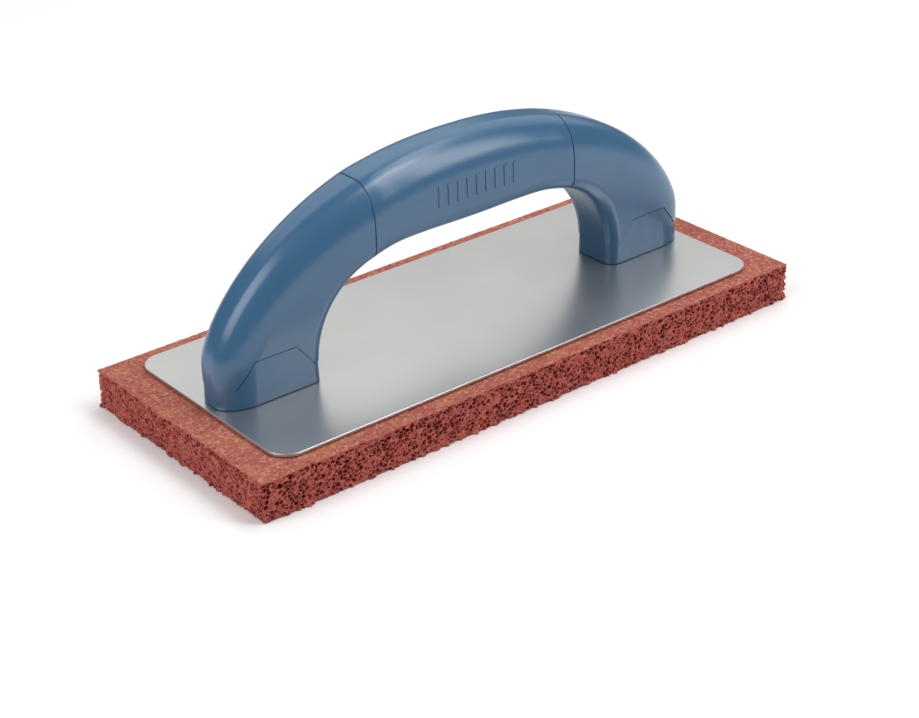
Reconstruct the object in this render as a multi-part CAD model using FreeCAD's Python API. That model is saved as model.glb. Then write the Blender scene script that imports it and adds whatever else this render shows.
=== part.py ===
import FreeCAD, Part
import math
import os

from FreeCAD import Vector

# Coarse-cell rubber float: a sponge rubber pad, a thin metal backing plate bonded on top of it,
# and a one-piece moulded arch handle screwed to the plate from below.
# Millimetres. X runs along the float, Y across it, Z up from the pad's working face.
# The origin is the centre of the working face.

# ---- driving sizes ----
pad_length = 241.3
pad_width = 101.6
pad_thickness = 15.0

adhesive_thickness = 0.4
adhesive_inset = 0.8            # the bond line stops this far inside the plate's edge

plate_end_inset = 11.85         # pad's end to the plate's end
plate_side_inset = 6.35
plate_thickness = 1.0
plate_corner_radius = 8.5
plate_edge_round = 0.25

foot_end_gap = 2.3              # plate's end to the outside of a foot
foot_length = 39.5              # along X, from the outside of a foot to its inside
handle_rise = 71.2              # top of the grip above the plate
grip_depth = 29.2               # top of the grip to the crown of the hand opening
outer_straight = 14.5           # upright stretch at the outside of each foot
outer_power_along = 2.23        # fullness of the outer arch, along X and along Z
outer_power_up = 1.5

inner_straight = 6.3            # upright stretch at the inside of each foot
inner_power_along = 3.95
inner_power_up = 2.0
palm_swell = 1.3                # how far the underside of the grip bulges down

foot_width = 21.0
shoulder_width = 27.4           # at the two witness lines, the widest place
grip_width = 26.8               # in the middle of the grip
flare_power = 1.57              # how late each leg widens between foot and shoulder
foot_outer_radius = 8.4
foot_inner_radius = 4.0
grip_top_radius = 10.5
grip_under_radius = 6.0
outer_corner_stretch = 1.45     # the outer corners are ellipses, this much longer down the flat side
flat_least = 1.0                # flat kept on each side where the handle is thin

witness_gap = 22.1              # inside of a foot to the mould witness line, along X
witness_width = 0.6
witness_depth = 0.35

panel_foot_gap = 7.8            # plate to the point where the ends of each sunk panel begin to lean in
panel_rise = 8.6
panel_inner_gap = 3.9           # foot's inside face to the panel's near end
panel_outer_gap = 5.6           # foot's outside face to the panel's other end
panel_slope = 7.0               # how far each end of a panel leans in
panel_depth = 0.35              # at its top; it comes down to the foot band's depth at the plate
groove_width = 0.5              # narrow groove along a panel's top and leaning ends
groove_depth = 0.6

foot_band_depth = 0.12          # step all round a foot, as high as the panels' corners
foot_relief_height = 0.35       # thin shadow gap where a foot meets the plate
foot_relief_inset = 0.8

rib_count = 9
rib_pitch = 4.2
rib_width = 1.5
rib_height = 7.5
rib_proud = 0.35
rib_chamfer = 0.14
rib_lift = 2.9                  # centre of the ribs above the middle of the grip's side

screw_inner_gap = 8.0           # foot's inside face to the nearer screw
screw_outer_gap = 10.0          # foot's outside face to the other screw
screw_shank_radius = 2.1
screw_shank_length = 16.0
screw_tip_length = 2.5
screw_tip_radius = 0.8
screw_head_radius = 4.6
screw_head_height = 2.8
screw_head_round = 1.0
screw_slot_width = 1.1
screw_slot_depth = 1.2
pilot_clearance = 0.05
pilot_extra_depth = 2.0
plate_hole_clearance = 0.5
head_clearance = 0.5            # sponge cut clear around each screw head

core_wall = 4.5                 # plastic left around the moulded core pocket in each foot
core_depth = 14.0
core_screw_gap = 2.0            # wall between the pocket and a screw's pilot hole

leg_sections = 22
foot_sections = 9               # of these, the ones that the panels' cutters follow
grip_sections = 5
walk_steps = 240

# ---- derived places ----
adhesive_bottom = pad_thickness
plate_bottom = adhesive_bottom + adhesive_thickness
plate_top = plate_bottom + plate_thickness

plate_length = pad_length - 2 * plate_end_inset
plate_width = pad_width - 2 * plate_side_inset
outer_half = plate_length / 2 - foot_end_gap
inner_half = outer_half - foot_length
outer_spring = plate_top + outer_straight
inner_spring = plate_top + inner_straight
outer_arch_rise = handle_rise - outer_straight
inner_arch_rise = handle_rise - grip_depth - inner_straight
witness_x = inner_half - witness_gap
panel_corner_z = plate_top + panel_foot_gap

screw_inner_x = inner_half + screw_inner_gap
screw_outer_x = outer_half - screw_outer_gap
screw_places = [(side * x, 0.0) for side in (-1, 1) for x in (screw_inner_x, screw_outer_x)]


def arch(x, half, spring, rise, power_along, power_up):
    """Height of a superellipse arch at x."""
    return spring + rise * (1 - abs(x / half) ** power_along) ** (1 / power_up)


def outer_z(x):
    return arch(x, outer_half, outer_spring, outer_arch_rise, outer_power_along, outer_power_up)


def inner_z(x):
    swell = palm_swell * max(0.0, 1 - (x / witness_x) ** 2) ** 2
    return arch(x, inner_half, inner_spring, inner_arch_rise, inner_power_along, inner_power_up) - swell


def leg_path(half, height_at, power_along):
    """Points (x, z) from the foot's edge on the plate up to the witness line."""
    last_turn = math.acos((witness_x / half) ** (power_along / 2))
    path = [(half, plate_top)]
    for step in range(walk_steps + 1):
        x = half * math.cos(last_turn * step / walk_steps) ** (2 / power_along)
        path.append((x, height_at(x)))
    return path


def spaced(path, count):
    """count + 1 points at equal distances along a path."""
    reach = [0.0]
    for a, b in zip(path, path[1:]):
        reach.append(reach[-1] + math.dist(a, b))
    points = []
    place = 0
    for step in range(count + 1):
        wanted = reach[-1] * step / count
        while place < len(path) - 2 and reach[place + 1] < wanted:
            place += 1
        share = (wanted - reach[place]) / (reach[place + 1] - reach[place])
        a, b = path[place], path[place + 1]
        points.append((a[0] + (b[0] - a[0]) * share, a[1] + (b[1] - a[1]) * share))
    return points


def blend(start, end, share):
    return start + (end - start) * share


def section(outer, inner, half_width, outer_radius, inner_radius, inset=0.0):
    """Closed wire across the handle: two flat sides, broad elliptic corners outside, small ones inside.

    outer and inner are (x, z) points on the arch's outside and inside; the section's plane
    holds both and the Y direction.
    """
    away = Vector(outer[0] - inner[0], 0, outer[1] - inner[1])
    depth = away.Length - 2 * inset
    away.normalize()
    start = Vector(inner[0], 0, inner[1]) + away * inset
    wide = half_width - inset
    r_out = min(outer_radius - inset, wide)
    r_in = min(inner_radius - inset, wide, depth / 3)
    r_long = min(r_out * outer_corner_stretch, depth - r_in - flat_least)
    slant = math.sqrt(0.5)

    def at(y, v):
        return start + away * v + Vector(0, y, 0)

    def corner(radius_y, radius_v, v_centre, y_side, v_side):
        """Quarter of an ellipse whose middle points to (y_side, v_side)."""
        y_centre = y_side * (wide - radius_y)
        along_y = at(y_side * wide, v_centre)
        along_v = at(y_centre, v_centre + v_side * radius_v)
        tip = at(y_side * wide, v_centre + v_side * radius_v)
        ends = (along_v, along_y) if y_side * v_side < 0 else (along_y, along_v)
        curve = Part.BezierCurve()
        curve.setPoles([ends[0], tip, ends[1]])
        curve.setWeight(2, slant)
        return curve.toShape()

    def line(y0, v0, y1, v1):
        return Part.LineSegment(at(y0, v0), at(y1, v1)).toShape()

    edges = [
        line(r_in - wide, 0, wide - r_in, 0),
        corner(r_in, r_in, r_in, 1, -1),
        line(wide, r_in, wide, depth - r_long),
        corner(r_out, r_long, depth - r_long, 1, 1),
        line(wide - r_out, depth, r_out - wide, depth),
        corner(r_out, r_long, depth - r_long, -1, 1),
        line(-wide, depth - r_long, -wide, r_in),
        corner(r_in, r_in, r_in, -1, -1),
    ]
    return Part.Wire(edges)


def half_width_at(x):
    """Half the grip's width between the witness lines."""
    return blend(shoulder_width, grip_width, 1 - (x / witness_x) ** 2) / 2


def witness_section(side, inset=0.0):
    outer = (side * witness_x, outer_z(witness_x))
    inner = (side * witness_x, inner_z(witness_x))
    return section(outer, inner, shoulder_width / 2, grip_top_radius, grip_under_radius, inset)


def leg_wires(side, count=leg_sections, low_inset=0.0, high_inset=0.0):
    """The first sections of a leg, from the foot up; all of them stop just short of the witness line.

    The inset runs from low_inset at the plate to high_inset at a panel's top and above.
    """
    outer_points = spaced(leg_path(outer_half, outer_z, outer_power_along), leg_sections)
    inner_points = spaced(leg_path(inner_half, inner_z, inner_power_along), leg_sections)
    wires = []
    for step in range(count):
        share = step / leg_sections
        outer = (side * outer_points[step][0], outer_points[step][1])
        inner = (side * inner_points[step][0], inner_points[step][1])
        width = blend(foot_width, shoulder_width, share ** flare_power)
        r_out = blend(foot_outer_radius, grip_top_radius, share)
        r_in = blend(foot_inner_radius, grip_under_radius, share)
        up = min(1.0, (outer[1] - plate_top) / (panel_foot_gap + panel_rise))
        wires.append(section(outer, inner, width / 2, r_out, r_in, blend(low_inset, high_inset, up)))
    return wires


def grip_wires():
    """Upright sections from one witness line to the other."""
    wires = []
    for step in range(-grip_sections, grip_sections + 1):
        x = witness_x * step / grip_sections
        wires.append(section((x, outer_z(x)), (x, inner_z(x)), half_width_at(x),
                             grip_top_radius, grip_under_radius))
    return wires


def witness_groove(side):
    """Thin ring cut round the handle where the mould's inserts met."""
    across = 2 * shoulder_width
    ring = Part.makeBox(witness_width, across, handle_rise,
                        Vector(side * witness_x - witness_width / 2, -across / 2, plate_top + inner_straight))
    core = Part.Face(witness_section(side, witness_depth))
    core.translate(Vector(-witness_width / 2, 0, 0))
    return ring.cut(core.extrude(Vector(witness_width, 0, 0)))


def grown(corners, distance):
    """Convex outline in the XZ plane, listed clockwise seen from +Y, with every edge moved outwards."""
    def outwards(a, b):
        return (b - a).cross(Vector(0, 1, 0)).normalize()

    result = []
    for before, here, after in zip(corners[-1:] + corners[:-1], corners, corners[1:] + corners[:1]):
        first, second = outwards(before, here), outwards(here, after)
        result.append(here + (first + second) * (distance / (1 + first.dot(second))))
    return result


def panel_outline():
    """Trapezoid of the panel on the leg at +X, above the foot band."""
    high = panel_corner_z + panel_rise
    start = inner_half + panel_inner_gap
    end = outer_half - panel_outer_gap
    return [Vector(start, 0, panel_corner_z), Vector(start + panel_slope, 0, high),
            Vector(end - panel_slope, 0, high), Vector(end, 0, panel_corner_z)]


def band_outline():
    """Upright stretch of the foot at +X, below the panels' corners, with room at both ends."""
    start, end = inner_half - foot_width, outer_half + foot_width
    return [Vector(start, 0, plate_top), Vector(end, 0, plate_top),
            Vector(end, 0, panel_corner_z), Vector(start, 0, panel_corner_z)]


def prism(outline, side):
    """The outline carried along Y through the whole leg at that side."""
    face = Part.Face(Part.makePolygon(outline + outline[:1]))
    face.translate(Vector(0, -foot_width, 0))
    body = face.extrude(Vector(0, 2 * foot_width, 0))
    return body.mirror(Vector(), Vector(1, 0, 0)) if side < 0 else body


def foot_body(side, low_inset, high_inset):
    return Part.makeLoft(leg_wires(side, foot_sections, low_inset, high_inset), True, False)


def panel_cuts(side):
    """Cutters for a leg: the foot band, the two panels above it and the groove round them."""
    core = foot_body(side, foot_band_depth, panel_depth)
    deep_core = foot_body(side, groove_depth, groove_depth)
    panel = prism(panel_outline(), side)
    groove = prism(grown(panel_outline(), groove_width), side).cut(panel).cut(prism(band_outline(), side))
    return [prism(band_outline(), side).cut(core), panel.cut(core), groove.cut(deep_core)]


def foot_relief(side):
    """Everything outside a foot's inset outline, for a little way up from the plate."""
    across = 2 * foot_width + foot_length
    middle = side * (inner_half + outer_half) / 2
    bar = Part.makeBox(across, across, foot_relief_height, Vector(middle - across / 2, -across / 2, plate_top))
    core = section((side * outer_half, plate_top), (side * inner_half, plate_top), foot_width / 2,
                   foot_outer_radius, foot_inner_radius, foot_relief_inset)
    return bar.cut(Part.Face(core).extrude(Vector(0, 0, foot_relief_height)))


def rib(number):
    """One upright bar of the plain tactile row on the front of the grip."""
    x = (number - (rib_count - 1) / 2) * rib_pitch
    flat_top = outer_z(x) - grip_top_radius * outer_corner_stretch
    middle = (flat_top + inner_z(x) + grip_under_radius) / 2 + rib_lift
    front_y = -half_width_at(x) - rib_proud
    bar = Part.makeBox(rib_width, 2 * rib_proud + 1, rib_height,
                       Vector(x - rib_width / 2, front_y, middle - rib_height / 2))
    front_edges = [edge for edge in bar.Edges if edge.BoundBox.YMax < front_y + 1e-6]
    return bar.makeChamfer(rib_chamfer, front_edges)


def upright_cylinder(radius, height, place, z):
    return Part.makeCylinder(radius, height, Vector(place[0], place[1], z))


def core_pocket(side):
    """Moulded pocket in the bottom of a foot, between its two screws."""
    wall = screw_shank_radius + pilot_clearance + core_screw_gap
    start = screw_inner_x + wall
    length = screw_outer_x - wall - start
    width = foot_width - 2 * core_wall
    corner_x = start if side > 0 else -start - length
    return Part.makeBox(length, width, core_depth, Vector(corner_x, -width / 2, plate_top))


def handle():
    wires = leg_wires(-1) + grip_wires() + leg_wires(1)[::-1]
    body = Part.makeLoft(wires, True, False)
    for number in range(rib_count):
        body = body.fuse(rib(number))
    for side in (-1, 1):
        body = body.cut(witness_groove(side))
        body = body.cut(core_pocket(side))
        body = body.cut(foot_relief(side))
        for cutter in panel_cuts(side):
            body = body.cut(cutter)
    for place in screw_places:
        depth = screw_shank_length + screw_tip_length + pilot_extra_depth - plate_thickness
        body = body.cut(upright_cylinder(screw_shank_radius + pilot_clearance, depth, place, plate_top))
    return body


def rounded_slab(length, width, thickness, radius, z):
    """Flat slab with its four upright corners rounded."""
    slab = Part.makeBox(length, width, thickness, Vector(-length / 2, -width / 2, z))
    upright = [edge for edge in slab.Edges if edge.BoundBox.ZLength > thickness / 2]
    return slab.makeFillet(radius, upright)


def backing_plate():
    plate = rounded_slab(plate_length, plate_width, plate_thickness, plate_corner_radius, plate_bottom)
    rim = [edge for edge in plate.Edges if edge.BoundBox.ZMin > plate_top - plate_thickness / 2]
    plate = plate.makeFillet(plate_edge_round, rim)
    for place in screw_places:
        radius = screw_shank_radius + plate_hole_clearance
        plate = plate.cut(upright_cylinder(radius, plate_thickness, place, plate_bottom))
    return plate


def adhesive_layer():
    layer = rounded_slab(plate_length - 2 * adhesive_inset, plate_width - 2 * adhesive_inset,
                         adhesive_thickness, plate_corner_radius - adhesive_inset, adhesive_bottom)
    for place in screw_places:
        radius = screw_head_radius + head_clearance
        layer = layer.cut(upright_cylinder(radius, adhesive_thickness, place, adhesive_bottom))
    return layer


def rubber_pad():
    pad = Part.makeBox(pad_length, pad_width, pad_thickness, Vector(-pad_length / 2, -pad_width / 2, 0))
    depth = screw_head_height - adhesive_thickness + head_clearance
    for place in screw_places:
        radius = screw_head_radius + head_clearance
        pad = pad.cut(upright_cylinder(radius, depth, place, pad_thickness - depth))
    return pad


def screw(place):
    """Slotted pan-head screw, driven upwards, with its head against the plate's underside."""
    head = upright_cylinder(screw_head_radius, screw_head_height, place, plate_bottom - screw_head_height)
    lower_rim = [edge for edge in head.Edges if edge.BoundBox.ZMax < plate_bottom - screw_head_height / 2]
    head = head.makeFillet(screw_head_round, lower_rim)
    slot = Part.makeBox(2 * screw_head_radius, screw_slot_width, screw_slot_depth,
                        Vector(place[0] - screw_head_radius, place[1] - screw_slot_width / 2,
                               plate_bottom - screw_head_height))
    shank = upright_cylinder(screw_shank_radius, screw_shank_length, place, plate_bottom)
    tip = Part.makeCone(screw_shank_radius, screw_tip_radius, screw_tip_length,
                        Vector(place[0], place[1], plate_bottom + screw_shank_length))
    return head.cut(slot).fuse(shank).fuse(tip).removeSplitter()


def handle_screws():
    return Part.makeCompound([screw(place) for place in screw_places])


nodes = {
    "rubber_pad": rubber_pad(),
    "adhesive_layer": adhesive_layer(),
    "backing_plate": backing_plate(),
    "handle": handle(),
    "handle_screws": handle_screws(),
}

os.makedirs("parts", exist_ok=True)
for name, shape in nodes.items():
    shape.exportStep(f"parts/{name}.step")
    box = shape.BoundBox
    print(f"{name}: solids {len(shape.Solids)}, volume {shape.Volume:.0f} mm3, valid {shape.isValid()}, "
          f"x {box.XMin:.2f}..{box.XMax:.2f}, y {box.YMin:.2f}..{box.YMax:.2f}, z {box.ZMin:.2f}..{box.ZMax:.2f}")
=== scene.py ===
import logging
import math
from dataclasses import dataclass, field
from enum import Enum
from typing import Union

import bpy
import numpy as np
from mathutils import Euler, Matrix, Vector


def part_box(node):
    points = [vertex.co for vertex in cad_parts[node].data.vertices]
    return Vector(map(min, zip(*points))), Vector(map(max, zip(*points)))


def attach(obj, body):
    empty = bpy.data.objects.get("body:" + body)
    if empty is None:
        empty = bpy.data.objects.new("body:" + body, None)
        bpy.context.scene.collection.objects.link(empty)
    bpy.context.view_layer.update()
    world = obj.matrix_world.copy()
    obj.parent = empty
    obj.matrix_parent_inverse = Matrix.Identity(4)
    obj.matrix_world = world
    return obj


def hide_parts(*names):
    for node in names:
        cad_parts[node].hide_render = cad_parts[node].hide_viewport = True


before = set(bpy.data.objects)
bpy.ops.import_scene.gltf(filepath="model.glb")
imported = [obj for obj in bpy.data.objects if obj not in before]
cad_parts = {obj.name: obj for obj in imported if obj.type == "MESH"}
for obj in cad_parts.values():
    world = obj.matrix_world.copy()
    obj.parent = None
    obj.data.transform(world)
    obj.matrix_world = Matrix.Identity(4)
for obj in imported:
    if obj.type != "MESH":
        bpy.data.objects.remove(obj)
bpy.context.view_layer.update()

MM = 0.001
LOG = logging.getLogger("rubber_float")


# ---------------------------------------------------------------- shader helpers


class Signal:
    """A number that varies over a surface; arithmetic on it adds Math nodes."""

    def __init__(self, tree: bpy.types.NodeTree, socket: bpy.types.NodeSocket) -> None:
        """Wraps one output socket.

        Args:
            tree: the node tree that the socket is in.
            socket: the output socket.
        """
        self.tree = tree
        self.socket = socket

    def math(self, operation: str, *terms: "Number", clamp: bool = False) -> "Signal":
        """Adds one Math node.

        Args:
            operation: the Math node's operation.
            terms: its inputs in order, as signals or plain numbers.
            clamp: whether the result is held between 0 and 1.

        Returns:
            The node's result.
        """
        node = self.tree.nodes.new("ShaderNodeMath")
        node.operation = operation
        node.use_clamp = clamp
        for socket, term in zip(node.inputs, terms):
            if isinstance(term, Signal):
                self.tree.links.new(term.socket, socket)
            else:
                socket.default_value = term
        return Signal(self.tree, node.outputs[0])

    def __add__(self, other: "Number") -> "Signal":
        """Sum."""
        return self.math("ADD", self, other)

    def __radd__(self, other: "Number") -> "Signal":
        """Reflected sum."""
        return self.math("ADD", other, self)

    def __sub__(self, other: "Number") -> "Signal":
        """Difference."""
        return self.math("SUBTRACT", self, other)

    def __rsub__(self, other: "Number") -> "Signal":
        """Reflected difference."""
        return self.math("SUBTRACT", other, self)

    def __mul__(self, other: "Number") -> "Signal":
        """Product."""
        return self.math("MULTIPLY", self, other)

    def __rmul__(self, other: "Number") -> "Signal":
        """Reflected product."""
        return self.math("MULTIPLY", other, self)

    def size(self) -> "Signal":
        """The number without its sign."""
        return self.math("ABSOLUTE", self)

    def ramp(self, low: float, high: float) -> "Signal":
        """0 below low, 1 above high, and a straight line between."""
        return self.math("MULTIPLY", self - low, 1 / (high - low), clamp=True)


Number = Union[Signal, float]
Colour = tuple[float, float, float]


class Paint:
    """A material's node tree, with one method that adds any node."""

    def __init__(self, name: str) -> None:
        """Starts an empty material.

        Args:
            name: the material's name.
        """
        self.material = bpy.data.materials.new(name)
        self.material.use_nodes = True
        self.tree = self.material.node_tree
        self.tree.nodes.clear()

    def node(self, kind: str, settings: dict | None = None, inputs: dict | None = None) -> bpy.types.Node:
        """Adds a node.

        Args:
            kind: the node's type name.
            settings: the node's own properties, set first.
            inputs: values or links of its sockets, by name or number.

        Returns:
            The node.
        """
        node = self.tree.nodes.new(kind)
        for key, value in (settings or {}).items():
            setattr(node, key, value)
        for key, value in (inputs or {}).items():
            self.feed(node.inputs[key], value)
        return node

    def feed(self, socket: bpy.types.NodeSocket, value: object) -> None:
        """Links a signal or a socket to an input, or sets the input's own value."""
        if isinstance(value, Signal):
            self.tree.links.new(value.socket, socket)
        elif isinstance(value, bpy.types.NodeSocket):
            self.tree.links.new(value, socket)
        elif isinstance(value, tuple) and len(value) == 3 and socket.type == "RGBA":
            socket.default_value = (*value, 1)
        else:
            socket.default_value = value

    def signal(self, socket: bpy.types.NodeSocket) -> Signal:
        """Wraps a socket so that it can be used in arithmetic."""
        return Signal(self.tree, socket)

    def place(self, scale: Colour = (1, 1, 1)) -> bpy.types.NodeSocket:
        """Object coordinates in metres, times a scale for each axis."""
        coordinates = self.node("ShaderNodeTexCoord")
        mapping = self.node("ShaderNodeMapping", None,
                            {"Vector": coordinates.outputs["Object"], "Scale": scale})
        return mapping.outputs["Vector"]

    def noise(self, size: float, detail: float = 2.0, rough: float = 0.5,
              scale: Colour = (1, 1, 1)) -> Signal:
        """Soft noise whose features are about size metres across.

        Args:
            size: the features' size in metres.
            detail: the number of finer layers.
            rough: the strength of the finer layers.
            scale: squeezes the pattern along each axis.

        Returns:
            A signal near 0.5 that runs from 0 to 1.
        """
        node = self.node("ShaderNodeTexNoise", None, {
            "Vector": self.place(scale), "Scale": 1 / size, "Detail": detail, "Roughness": rough})
        return self.signal(node.outputs["Fac"])

    def attribute(self, name: str) -> Signal:
        """A number stored on the mesh."""
        node = self.node("ShaderNodeAttribute", {"attribute_name": name})
        return self.signal(node.outputs["Fac"])

    def mix(self, share: Number, first: object, second: object) -> bpy.types.NodeSocket:
        """Colour between first and second.

        Args:
            share: 0 gives first and 1 gives second.
            first: a colour, or the socket of one.
            second: a colour, or the socket of one.

        Returns:
            The mixed colour's socket.
        """
        node = self.node("ShaderNodeMix", {"data_type": "RGBA"})
        self.feed(node.inputs["Factor"], share)
        self.feed(next(s for s in node.inputs if s.name == "A" and s.type == "RGBA"), first)
        self.feed(next(s for s in node.inputs if s.name == "B" and s.type == "RGBA"), second)
        return next(s for s in node.outputs if s.type == "RGBA")

    def bump(self, height: Signal, depth: float) -> bpy.types.NodeSocket:
        """Normal of a height signal.

        Args:
            height: the relief, from 0 to 1.
            depth: how deep a step from 0 to 1 is, in metres.

        Returns:
            The normal's socket.
        """
        node = self.node("ShaderNodeBump", None, {"Height": height, "Distance": depth, "Strength": 1.0})
        return node.outputs["Normal"]

    def finish(self, inputs: dict) -> bpy.types.Material:
        """Adds the Principled shader and the output, and returns the material."""
        shader = self.node("ShaderNodeBsdfPrincipled", None, inputs)
        self.node("ShaderNodeOutputMaterial", None, {"Surface": shader.outputs["BSDF"]})
        return self.material


# ---------------------------------------------------------------- finishes


@dataclass(frozen=True)
class MouldedPlastic:
    """Satin blue plastic, solid colour right through, with a faint moulded skin."""

    colour: Colour = (0.040, 0.128, 0.245)
    pale: Colour = (0.046, 0.138, 0.258)
    roughness: float = 0.25
    sheen_level: float = 0.75
    grain_size: float = 0.5 * MM
    grain_depth: float = 0.012 * MM

    def material(self) -> bpy.types.Material:
        """Builds the material."""
        paint = Paint("handle_plastic")
        flow = paint.noise(22 * MM, 3)
        grain = paint.noise(self.grain_size, 2)
        smear = paint.noise(9 * MM, 4, 0.6)
        return paint.finish({
            "Base Color": paint.mix(flow.ramp(0.3, 0.7), self.colour, self.pale),
            "Roughness": self.roughness + 0.10 * (smear - 0.5),
            "Normal": paint.bump(grain, self.grain_depth),
            "IOR": 1.5,
            "Specular IOR Level": self.sheen_level,
        })


@dataclass(frozen=True)
class RolledSheet:
    """Bare rolled sheet metal: a blurred mirror with faint rolling lines along its length."""

    colour: Colour = (0.66, 0.66, 0.65)
    dull: Colour = (0.61, 0.61, 0.60)
    roughness: float = 0.29

    def material(self) -> bpy.types.Material:
        """Builds the material."""
        paint = Paint("plate_metal")
        lines = paint.noise(0.35 * MM, 2, 0.6, (0.02, 1, 1))
        smudge = paint.noise(45 * MM, 2)
        return paint.finish({
            "Base Color": paint.mix(smudge.ramp(0.35, 0.75), self.colour, self.dull),
            "Metallic": 0.9,
            "Roughness": self.roughness + 0.03 * (smudge - 0.5) + 0.05 * (lines - 0.5),
            "Normal": paint.bump(lines, 0.004 * MM),
        })


@dataclass(frozen=True)
class AdhesiveWithGapShade:
    """Contact adhesive, a little lumpy where it squeezes out; its near-black colour is the glue's own dark
    brown, deepened as painted shade for the gap under the plate edge.
    """

    # Near-black colour: partly the glue's own, partly painted shade of the gap under the plate.
    colour: Colour = (0.022, 0.012, 0.010)
    light: Colour = (0.055, 0.026, 0.018)

    def material(self) -> bpy.types.Material:
        """Builds the material."""
        paint = Paint("adhesive")
        lumps = paint.noise(1.2 * MM, 3)
        return paint.finish({
            "Base Color": paint.mix(lumps.ramp(0.35, 0.65), self.colour, self.light),
            "Roughness": 0.45 + 0.2 * lumps,
            "Normal": paint.bump(lumps, 0.1 * MM),
        })


@dataclass(frozen=True)
class PlatedSteel:
    """Zinc-plated screw steel."""

    colour: Colour = (0.55, 0.55, 0.52)

    def material(self) -> bpy.types.Material:
        """Builds the material."""
        paint = Paint("screw_steel")
        scratch = paint.noise(0.4 * MM, 3, 0.6, (1, 1, 0.2))
        return paint.finish({
            "Base Color": paint.mix(scratch, self.colour, (0.66, 0.65, 0.58)),
            "Metallic": 1.0,
            "Roughness": 0.28 + 0.15 * scratch,
        })


@dataclass(frozen=True)
class SpongeRubber:
    """Red sponge rubber: rough open cells where it is cut, with painted shade that darkens the cells towards
    their floors, and a tan moulded skin on top.
    """

    ridge: Colour = (0.56, 0.140, 0.112)
    # The wall and pit colours are painted shade: darker colours for the deeper parts of each open cell.
    wall: Colour = (0.36, 0.056, 0.047)
    pit_shade: Colour = (0.135, 0.010, 0.008)
    rosy: Colour = (0.56, 0.19, 0.15)
    skin_red: Colour = (0.42, 0.095, 0.068)
    skin_tan: Colour = (0.50, 0.160, 0.075)
    speck: Colour = (0.62, 0.33, 0.25)
    grain: Colour = (0.25, 0.055, 0.040)

    def material(self) -> bpy.types.Material:
        """Builds the material; it reads how deep each point lies, to paint shade into the cells, and whether
        it is skin.
        """
        paint = Paint("sponge_rubber")
        depth = paint.attribute("depth")
        skin = paint.attribute("skin")
        tint = paint.noise(7 * MM, 3)
        fine = paint.noise(0.35 * MM, 3, 0.6)
        patch = paint.noise(13 * MM, 4, 0.6)
        crumb = paint.noise(1.6 * MM, 3, 0.7)
        dark = paint.noise(1.5 * MM, 3, 0.7, (1, 1, 1.7))
        maze = paint.noise(2.2 * MM, 3, 0.55)
        worm = 1 - (maze - 0.5).size().ramp(0.0, 0.075)

        # Painted shade: the cut faces darken with depth, from the ridge colour through the wall colour to
        # the pit colour.
        cut = paint.mix(depth.ramp(0.04, 0.30), self.ridge, self.wall)
        cut = paint.mix(depth.ramp(0.22, 0.52), cut, self.pit_shade)
        cut = paint.mix(tint.ramp(0.35, 0.85) * 0.22, cut, self.rosy)
        top = paint.mix(patch.ramp(0.50, 0.66), self.skin_red, self.skin_tan)
        top = paint.mix(dark.ramp(0.53, 0.59) * 0.65, top, self.grain)
        top = paint.mix(worm * 0.38, top, self.speck)
        top = paint.mix(crumb.ramp(0.54, 0.60) * 0.65, top, self.speck)
        relief = fine * 0.4 + crumb * 0.9 + worm * 0.6 - dark * 0.5
        return paint.finish({
            "Base Color": paint.mix(skin, cut, top),
            "Roughness": 0.75 + 0.2 * (fine - 0.5),
            "Normal": paint.bump(relief, 0.30 * MM),
            "Specular IOR Level": 0.2,
        })


@dataclass(frozen=True)
class StudioFloor:
    """Seamless pale paper."""

    colour: Colour = (0.97, 0.97, 0.97)

    def material(self) -> bpy.types.Material:
        """Builds the material."""
        paint = Paint("studio_floor")
        tooth = paint.noise(1.5 * MM, 2)
        return paint.finish({
            "Base Color": self.colour,
            "Roughness": 0.8 + 0.05 * tooth,
            "Specular IOR Level": 0.2,
        })


# ---------------------------------------------------------------- meshes


def new_piece(name: str, points: np.ndarray, quads: np.ndarray, triangles: np.ndarray,
              polygons: list[np.ndarray]) -> bpy.types.Object:
    """Makes a smooth-shaded mesh object at the origin.

    Args:
        name: the piece's name.
        points: vertex positions in metres, one row each.
        quads: rows of four vertex numbers.
        triangles: rows of three vertex numbers.
        polygons: larger faces, each a row of vertex numbers.

    Returns:
        The object, linked to the scene.
    """
    mesh = bpy.data.meshes.new(name)
    corners = np.concatenate([quads.ravel(), triangles.ravel(), *polygons]).astype(np.int32)
    sizes = np.concatenate([np.full(len(quads), 4), np.full(len(triangles), 3), [len(p) for p in polygons]])
    starts = np.concatenate([[0], np.cumsum(sizes)[:-1]]).astype(np.int32)
    mesh.vertices.add(len(points))
    mesh.vertices.foreach_set("co", points.astype(np.float32).ravel())
    mesh.loops.add(len(corners))
    mesh.loops.foreach_set("vertex_index", corners)
    mesh.polygons.add(len(sizes))
    mesh.polygons.foreach_set("loop_start", starts)
    mesh.update(calc_edges=True)
    mesh.polygons.foreach_set("use_smooth", np.ones(len(sizes), bool))
    mesh.validate()
    piece = bpy.data.objects.new(name, mesh)
    bpy.context.scene.collection.objects.link(piece)
    return piece


def store(piece: bpy.types.Object, name: str, values: np.ndarray) -> None:
    """Stores one number for each vertex of a piece."""
    attribute = piece.data.attributes.new(name, "FLOAT", "POINT")
    attribute.data.foreach_set("value", values.astype(np.float32))


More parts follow.
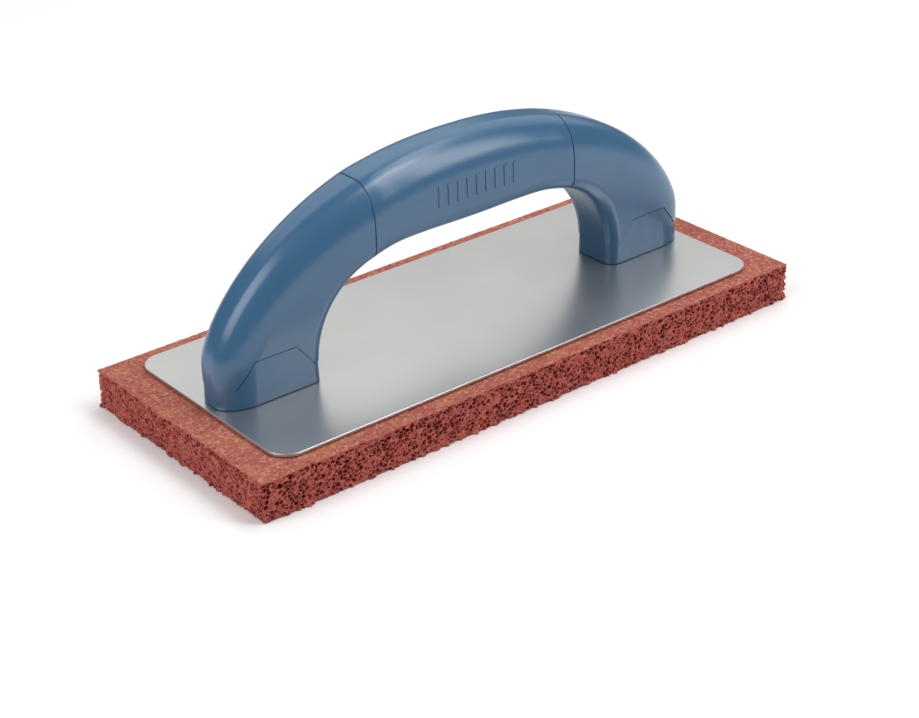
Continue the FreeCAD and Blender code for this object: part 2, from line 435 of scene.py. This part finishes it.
def scatter(cells: np.ndarray, salt: int) -> np.ndarray:
    """Fixed random numbers from 0 to 1 for whole-number cells of space.

    Each cell's three numbers are mixed into one by multiplying with large primes and folding.

    Args:
        cells: whole numbers, three in the last axis.
        salt: picks one of many independent sets.

    Returns:
        One number for each cell.
    """
    mixed = (cells[..., 0] * 73856093) ^ (cells[..., 1] * 19349663) ^ (cells[..., 2] * 83492791)
    mixed = (mixed + salt * 2654435761) & 0xFFFFFFFF
    mixed = ((mixed >> 16) ^ mixed) * 0x45D9F3B & 0xFFFFFFFF
    mixed = ((mixed >> 16) ^ mixed) * 0x45D9F3B & 0xFFFFFFFF
    mixed = (mixed >> 16) ^ mixed
    return mixed / 0xFFFFFFFF


def soft_noise(points: np.ndarray, size: float, salt: int) -> np.ndarray:
    """Smooth value noise from -1 to 1: random numbers at lattice corners, blended between them."""
    scaled = points / size
    base = np.floor(scaled).astype(np.int64)
    part = scaled - base
    part = part * part * (3 - 2 * part)
    total = np.zeros(len(points))
    for corner in np.ndindex(2, 2, 2):
        weight = np.prod(np.where(corner, part, 1 - part), axis=1)
        total += weight * scatter(base + np.array(corner), salt)
    return 2 * total - 1


@dataclass(frozen=True)
class Bubbles:
    """Round gas cells scattered through rubber, one in each cube of a lattice."""

    spacing: float
    smallest: float
    largest: float
    salt: int

    def exit_distance(self, points: np.ndarray, inward: np.ndarray) -> np.ndarray:
        """How far each point goes along its inward direction before it leaves the bubbles it is in.

        For a bubble with centre c and radius r, a point p inside it leaves at
        (c - p).d + sqrt(r^2 - |c - p|^2 + ((c - p).d)^2). The longest such way counts.

        Args:
            points: positions in metres.
            inward: a unit direction for each point.

        Returns:
            Distances in metres, 0 for a point in solid rubber.
        """
        base = np.floor(points / self.spacing).astype(np.int64)
        longest = np.zeros(len(points))
        for step in np.ndindex(3, 3, 3):
            cube = base + np.array(step) - 1
            jitter = np.stack([scatter(cube, self.salt + k) for k in range(3)], axis=1)
            radius = self.smallest + (self.largest - self.smallest) * scatter(cube, self.salt + 3) ** 1.5
            to_centre = (cube + jitter) * self.spacing - points
            along = np.einsum("ij,ij->i", to_centre, inward)
            apart = np.einsum("ij,ij->i", to_centre, to_centre)
            inside = apart < radius ** 2
            way = along + np.sqrt(np.maximum(radius ** 2 - apart + along ** 2, 0))
            longest = np.where(inside, np.maximum(longest, way), longest)
        return longest


@dataclass(frozen=True)
class Foam:
    """Packed gas cells with thin walls between them, cut open by the block's surface."""

    spacing: float
    wall: float
    slope: float
    shallow: float
    deep: float
    salt: int

    def pits(self, points: np.ndarray) -> np.ndarray:
        """Depth of the open cell under each point, 0 on the walls between cells.

        Every cube of a lattice holds one cell centre. With F1 and F2 the distances to the two
        nearest centres, F2 - F1 is zero on a wall and grows towards the middle of a cell.

        Args:
            points: positions in metres.

        Returns:
            Depths in metres.
        """
        base = np.floor(points / self.spacing).astype(np.int64)
        nearest = np.full(len(points), np.inf)
        second = np.full(len(points), np.inf)
        share = np.zeros(len(points))
        for step in np.ndindex(3, 3, 3):
            cube = base + np.array(step) - 1
            jitter = np.stack([scatter(cube, self.salt + k) for k in range(3)], axis=1)
            apart = np.linalg.norm((cube + jitter) * self.spacing - points, axis=1)
            closer = apart < nearest
            second = np.where(closer, nearest, np.minimum(second, apart))
            share = np.where(closer, scatter(cube, self.salt + 3), share)
            nearest = np.where(closer, apart, nearest)
        rise = np.clip((second - nearest - self.wall) / self.slope, 0, 1)
        return (self.shallow + (self.deep - self.shallow) * share) * rise * (2 - rise)


# ---------------------------------------------------------------- sub-assemblies


@dataclass
class SpongePad:
    """The block of open-cell rubber: four cut sides, a cut working face and a moulded skin on top."""

    columns_along: int = 960
    columns_across: int = 400
    side_rows: int = 58
    skin_step: float = 0.5 * MM
    skin_reach: float = 14.5 * MM
    lower_round: float = 0.5 * MM
    upper_round: float = 0.35 * MM
    core_depth: float = 4.0 * MM
    deepest: float = 1.6 * MM
    rim_guard: float = 0.9 * MM
    shard_reach: float = 1.7 * MM
    shard_height: float = 2.8 * MM
    shard_size: float = 2.1 * MM
    shard_fine_size: float = 0.9 * MM
    shard_fine_share: float = 0.5
    wander_depth: float = 0.20 * MM
    wander_size: float = 9 * MM
    wander_fine_size: float = 3.0 * MM
    wander_fine_share: float = 0.8
    cut_sink: float = 0.10 * MM
    floor_roughness: float = 0.4
    nick_size: float = 3.6 * MM
    nick_fine_size: float = 1.3 * MM
    nick_fine_share: float = 0.6
    nick_strength: float = 0.9
    guard_least: float = 0.15
    grain_depth: float = 0.10 * MM
    grain_size: float = 1.3 * MM
    grain_roughness: float = 0.25
    skin_fade: float = 0.5 * MM
    side_near: float = 0.3 * MM
    plate_cover: float = 13 * MM
    plate_below: float = 1 * MM
    coarse: Foam = Foam(1.6 * MM, 0.13 * MM, 0.42 * MM, 0.25 * MM, 1.25 * MM, 11)
    fine: Bubbles = Bubbles(0.62 * MM, 0.18 * MM, 0.36 * MM, 57)
    finish: SpongeRubber = field(default_factory=SpongeRubber)

    def __post_init__(self) -> None:
        """Takes the block's size from the CAD node."""
        low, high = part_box("rubber_pad")
        self.half = np.array([high.x, high.y])
        self.bottom, self.top = low.z, high.z

    def ring(self, inset: np.ndarray, height: np.ndarray, divide: int) -> np.ndarray:
        """Rectangles nested in the block's outline, one for each inset and height.

        Args:
            inset: how far each ring lies inside the outline.
            height: each ring's height.
            divide: 1 for the finest spacing, 2 for half as many points, and so on.

        Returns:
            Points, with one row of them for each ring, anticlockwise seen from above.
        """
        along, across = self.columns_along // divide, self.columns_across // divide
        run_x, run_y = np.arange(along) / along * 2 - 1, np.arange(across) / across * 2 - 1
        sign = np.concatenate([
            np.stack([run_x, -np.ones(along)], 1), np.stack([np.ones(across), run_y], 1),
            np.stack([-run_x, np.ones(along)], 1), np.stack([-np.ones(across), -run_y], 1)])
        size = self.half[None, :] - inset[:, None]
        flat = sign[None] * size[:, None]
        upright = np.broadcast_to(height[:, None, None], (*flat.shape[:2], 1))
        return np.concatenate([flat, upright], axis=2)

    def profile(self) -> tuple[np.ndarray, np.ndarray]:
        """The block's edge as seen in section, from under the lower rim up and over the upper one.

        Returns:
            Insets and heights: a quarter round, a straight side and a quarter round.
        """
        turn = np.linspace(0, math.pi / 2, 4)
        low_in = self.lower_round * (1 - np.sin(turn))
        low_up = self.bottom + self.lower_round * (1 - np.cos(turn))
        side = np.linspace(self.bottom + self.lower_round, self.top - self.upper_round, self.side_rows)[1:-1]
        high_in = self.upper_round * (1 - np.cos(turn))
        high_up = self.top - self.upper_round * (1 - np.sin(turn))
        inset = np.concatenate([low_in, np.zeros(len(side)), high_in])
        return inset, np.concatenate([low_up, side, high_up])

    @staticmethod
    def band(outer: np.ndarray, inner: np.ndarray) -> np.ndarray:
        """Quads between two rings of equal length, as rows of vertex numbers."""
        return np.stack([outer, np.roll(outer, -1), np.roll(inner, -1), inner], axis=1)

    @staticmethod
    def halving(fine: np.ndarray, coarse: np.ndarray) -> np.ndarray:
        """Triangles between a ring and one with half as many points."""
        first, middle, last = fine[0::2], fine[1::2], np.roll(fine[0::2], -1)
        following = np.roll(coarse, -1)
        return np.concatenate([
            np.stack([first, middle, coarse], 1), np.stack([middle, following, coarse], 1),
            np.stack([middle, last, following], 1)])

    def build(self) -> bpy.types.Object:
        """Makes the pad's mesh, with its cells as real hollows, and dresses it."""
        inset, height = self.profile()
        shell = self.ring(inset, height, 1)
        rows, around = shell.shape[:2]
        numbers = np.arange(rows * around).reshape(rows, around)
        quads = [self.band(a, b) for a, b in zip(numbers[:-1], numbers[1:])]
        points, triangles = [shell.reshape(-1, 3)], []
        count = rows * around

        skin_inset = np.arange(self.upper_round + self.skin_step, self.skin_reach, self.skin_step)
        skin = self.ring(skin_inset, np.full(len(skin_inset), self.top), 2)
        skin_numbers = count + np.arange(skin.shape[0] * skin.shape[1]).reshape(skin.shape[:2])
        triangles.append(self.halving(numbers[-1], skin_numbers[0]))
        quads += [self.band(a, b) for a, b in zip(skin_numbers[:-1], skin_numbers[1:])]
        points.append(skin.reshape(-1, 3))
        count += skin_numbers.size
        last = skin_numbers[-1]
        for level, divide in enumerate((4, 8), 1):
            reach = skin_inset[-1] + level * 2 * MM
            under = self.ring(np.array([reach]), np.array([self.top]), divide)[0]
            under_numbers = count + np.arange(len(under))
            triangles.append(self.halving(last, under_numbers))
            points.append(under)
            count += len(under)
            last = under_numbers
        cap = last

        along, across = self.columns_along // 2, self.columns_across // 2
        inner = self.half - self.lower_round - self.skin_step
        grid_x = np.linspace(-inner[0], inner[0], along + 1)
        grid_y = np.linspace(-inner[1], inner[1], across + 1)
        face_x, face_y = np.meshgrid(grid_x, grid_y, indexing="ij")
        face = np.stack([face_x, face_y, np.full_like(face_x, self.bottom)], axis=2)
        face_numbers = count + np.arange(face_x.size).reshape(face_x.shape)
        rim = np.concatenate([face_numbers[:-1, 0], face_numbers[-1, :-1],
                              face_numbers[:0:-1, -1], face_numbers[0, :0:-1]])
        triangles.append(self.halving(numbers[0], rim)[:, ::-1])
        quads.append(np.stack([face_numbers[:-1, :-1], face_numbers[:-1, 1:], face_numbers[1:, 1:],
                               face_numbers[1:, :-1]], axis=2).reshape(-1, 4))
        points.append(face.reshape(-1, 3))

        flat = np.concatenate(points)
        shaped, depth, skin_share = self.erode(flat)
        piece = new_piece("sponge_pad", shaped, np.concatenate(quads), np.concatenate(triangles), [cap])
        store(piece, "depth", depth)
        store(piece, "skin", skin_share)
        piece.data.materials.append(self.finish.material())
        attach(piece, "root")
        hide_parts("rubber_pad")
        return piece

    def inward(self, points: np.ndarray) -> np.ndarray:
        """Unit directions from the block's surface towards the nearest point of its core box."""
        reach = np.array([*(self.half - self.core_depth), 0])
        low, high = -reach, reach.copy()
        low[2], high[2] = self.bottom + self.core_depth, self.top - self.core_depth
        way = np.clip(points, low, high) - points
        return way / np.linalg.norm(way, axis=1, keepdims=True)

    def erode(self, points: np.ndarray) -> tuple[np.ndarray, np.ndarray, np.ndarray]:
        """Sinks the surface into the bubbles that it cuts.

        A point goes inwards to the floor of the cell that it is over. Small bubbles roughen that
        floor and the walls. The skin on top is closed, so it keeps only a faint relief.

        Args:
            points: the plain block's vertices.

        Returns:
            The shaped vertices, the depth of each from 0 to 1, and how far each is skin, 0 to 1.
        """
        way = self.inward(points)
        edge_gap = np.min(self.half - np.abs(points[:, :2]), axis=1)
        below_top = self.top - points[:, 2]
        skin = np.clip(1 - below_top / self.skin_fade, 0, 1)
        skin *= np.clip((edge_gap + self.side_near) / self.skin_fade, 0, 1)
        wander = soft_noise(points, self.wander_size, 3)
        wander = self.wander_depth * (wander + self.wander_fine_share
                                      * soft_noise(points, self.wander_fine_size, 5))
        pits = self.coarse.pits(points)
        rough = self.floor_roughness * self.fine.exit_distance(points + way * pits[:, None], way)
        sunk = np.minimum(pits + rough, self.deepest)

        nicks = soft_noise(points, self.nick_size, 21)
        nicks += self.nick_fine_share * soft_noise(points, self.nick_fine_size, 23)
        guard = self.rim_guard * np.maximum(1 + self.nick_strength * nicks, self.guard_least)
        cut = np.clip(below_top / guard, 0, 1)
        cut = cut * cut * (3 - 2 * cut)
        grain = self.grain_depth * (1 + soft_noise(points, self.grain_size, 31))
        grain += self.grain_roughness * self.fine.exit_distance(points, way)
        covered = (edge_gap > self.plate_cover) & (below_top < self.plate_below)
        travel = cut * (sunk + self.cut_sink + wander) + (1 - cut) * np.where(covered, 0, grain)
        shaped = points + way * travel[:, None]

        low = np.clip(1 - (points[:, 2] - self.bottom) / self.shard_height, 0, 1)
        low *= edge_gap < self.side_near
        torn = soft_noise(points, self.shard_size, 41)
        torn = np.clip(torn + self.shard_fine_share * soft_noise(points, self.shard_fine_size, 43), 0, 1)
        level = -way * [1, 1, 0]
        shaped += level * (self.shard_reach * low * torn)[:, None]
        shaped[:, 2] = np.maximum(shaped[:, 2], self.bottom)
        return shaped, cut * sunk / self.deepest, skin


@dataclass
class MetalAndPlastic:
    """The CAD pieces that keep their own shape and get a finish here."""

    plate: RolledSheet = field(default_factory=RolledSheet)
    plastic: MouldedPlastic = field(default_factory=MouldedPlastic)
    adhesive: AdhesiveWithGapShade = field(default_factory=AdhesiveWithGapShade)
    steel: PlatedSteel = field(default_factory=PlatedSteel)

    def dress(self) -> None:
        """Gives each CAD node its finish."""
        finishes = {
            "backing_plate": (self.plate, "plate_metal"),
            "handle": (self.plastic, "handle_plastic"),
            "adhesive_layer": (self.adhesive, "adhesive"),
            "handle_screws": (self.steel, "screw_steel"),
        }
        for node, (finish, slot) in finishes.items():
            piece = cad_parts[node]
            piece.data.materials.clear()
            piece.data.materials.append(finish.material())
            LOG.info("dressed %s", node)


# ---------------------------------------------------------------- studio


class Shown(Enum):
    """Where a light can be seen."""

    IN_REFLECTIONS = True
    NOWHERE = False


@dataclass(frozen=True)
class SoftBox:
    """A rectangular light that faces the object, given by the part of the sky that it covers."""

    name: str
    azimuth: float
    elevation: float
    spread: float
    rise: float
    radiance: float
    shown: Shown = Shown.IN_REFLECTIONS
    distance: float = 1.5
    target: Colour = (0, 0, 0.04)

    def build(self) -> bpy.types.Object:
        """Makes the light.

        Azimuth 0 is in front of the object, at -Y, and 90 at +X; spread and rise are the angles
        that its width and height cover. Power is radiance times pi times its area.

        Returns:
            The light, linked to the scene.
        """
        data = bpy.data.lights.new(self.name, "AREA")
        data.shape = "RECTANGLE"
        data.size = 2 * self.distance * math.tan(math.radians(self.spread / 2))
        data.size_y = 2 * self.distance * math.tan(math.radians(self.rise / 2))
        data.energy = self.radiance * math.pi * data.size * data.size_y
        turn, lift = math.radians(self.azimuth), math.radians(self.elevation)
        away = Vector((math.sin(turn) * math.cos(lift), -math.cos(turn) * math.cos(lift), math.sin(lift)))
        light = bpy.data.objects.new(self.name, data)
        light.visible_glossy = self.shown.value
        light.location = Vector(self.target) + away * self.distance
        light.rotation_euler = (-away).to_track_quat("-Z", "Y").to_euler()
        bpy.context.scene.collection.objects.link(light)
        return light


@dataclass
class Studio:
    """Camera, floor and lights."""

    camera_place: Colour = (-0.4028, -0.5038, 0.3409)
    camera_turn: Colour = (61.895, 1.245, -39.350)
    camera_lens: float = 77.68
    floor_size: float = 8.0
    world_grey: float = 0.13
    lights: tuple[SoftBox, ...] = (
        SoftBox("left_box", -94, 40, 40, 36, 3.0),
        SoftBox("right_box", 38, 46, 18, 60, 4.4),
        SoftBox("top_box", 84, 68, 36, 18, 3.0),
        SoftBox("back_wall", 140, 40, 90, 40, 0.90),
        SoftBox("fill", 0, 88, 60, 60, 0.52, Shown.NOWHERE),
    )

    def build(self) -> None:
        """Makes the studio."""
        self.make_camera()
        self.make_floor()
        for light in self.lights:
            light.build()
        world = bpy.data.worlds.new("studio")
        bpy.context.scene.world = world
        world.use_nodes = True
        background = world.node_tree.nodes["Background"]
        background.inputs["Color"].default_value = (self.world_grey,) * 3 + (1,)
        bpy.context.scene.view_settings.view_transform = "Standard"

    def make_camera(self) -> None:
        """Places the camera."""
        data = bpy.data.cameras.new("camera")
        data.lens = self.camera_lens
        data.clip_start, data.clip_end = 0.01, 50
        camera = bpy.data.objects.new("camera", data)
        camera.location = self.camera_place
        camera.rotation_euler = Euler([math.radians(a) for a in self.camera_turn], "XYZ")
        bpy.context.scene.collection.objects.link(camera)
        bpy.context.scene.camera = camera

    def make_floor(self) -> None:
        """A large flat sheet just under the object."""
        half, z = self.floor_size / 2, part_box("rubber_pad")[0].z
        corners = np.array([[-half, -half, z], [half, -half, z], [half, half, z], [-half, half, z]])
        floor = new_piece("floor", corners, np.array([[0, 1, 2, 3]]), np.zeros((0, 3), int), [])
        floor.data.materials.append(StudioFloor().material())


def main() -> None:
    """Builds the studio and every piece, in order."""
    logging.basicConfig(level=logging.INFO, format="%(message)s")
    Studio().build()
    LOG.info("studio ready")
    MetalAndPlastic().dress()
    pad = SpongePad().build()
    LOG.info("%s: %d vertices", pad.name, len(pad.data.vertices))


if __name__ == "__main__":
    main()
